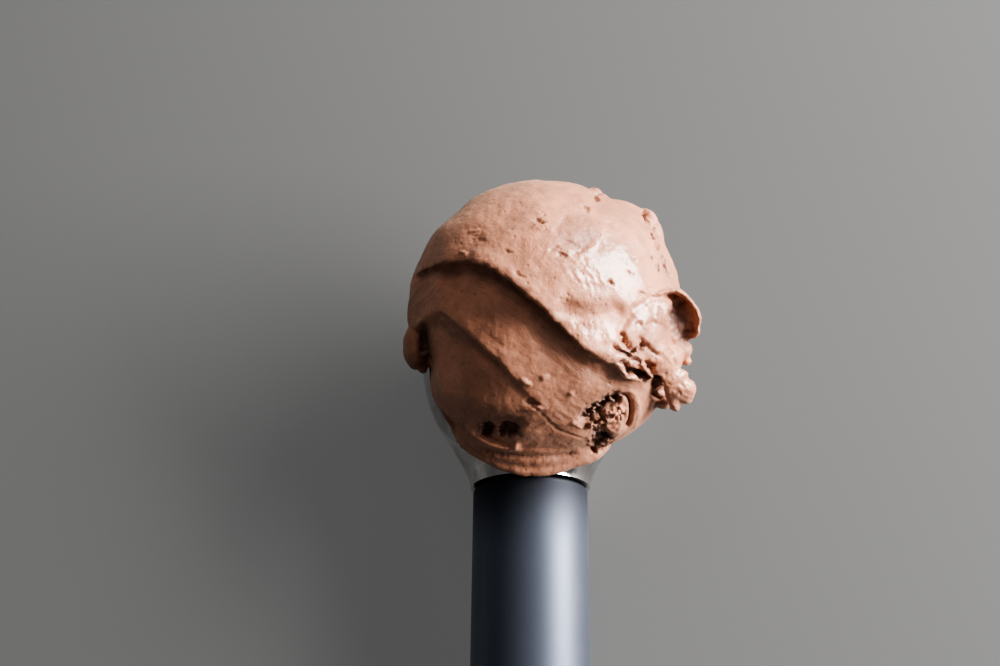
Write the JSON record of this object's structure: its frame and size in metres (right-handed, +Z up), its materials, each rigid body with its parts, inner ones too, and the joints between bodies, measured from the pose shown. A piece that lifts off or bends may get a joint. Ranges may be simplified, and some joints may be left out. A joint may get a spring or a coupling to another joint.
{
  "type": "loaded ice cream scoop",
  "caption": "A scoop with a polished metal bowl and a round dark handle, lying on its back, its bowl filled with a folded ball of chocolate ice cream.",
  "frame": {"origin": "middle of the whole, at the surface it lies on", "axes": "+Y from the handle's end towards the bowl, +X to the scoop's right, +Z up, out of the bowl"},
  "size_m": [0.0682, 0.1936, 0.0573],
  "materials": {
    "bowl_metal": "polished",
    "handle_grip": "satin dark grey coating",
    "chocolate_ice_cream": "moist, between satin and glossy"
  },
  "bodies": {
    "root": {"bowl": "bowl_metal", "handle": "handle_grip", "ice_cream": "chocolate_ice_cream"}
  },
  "joints": []
}
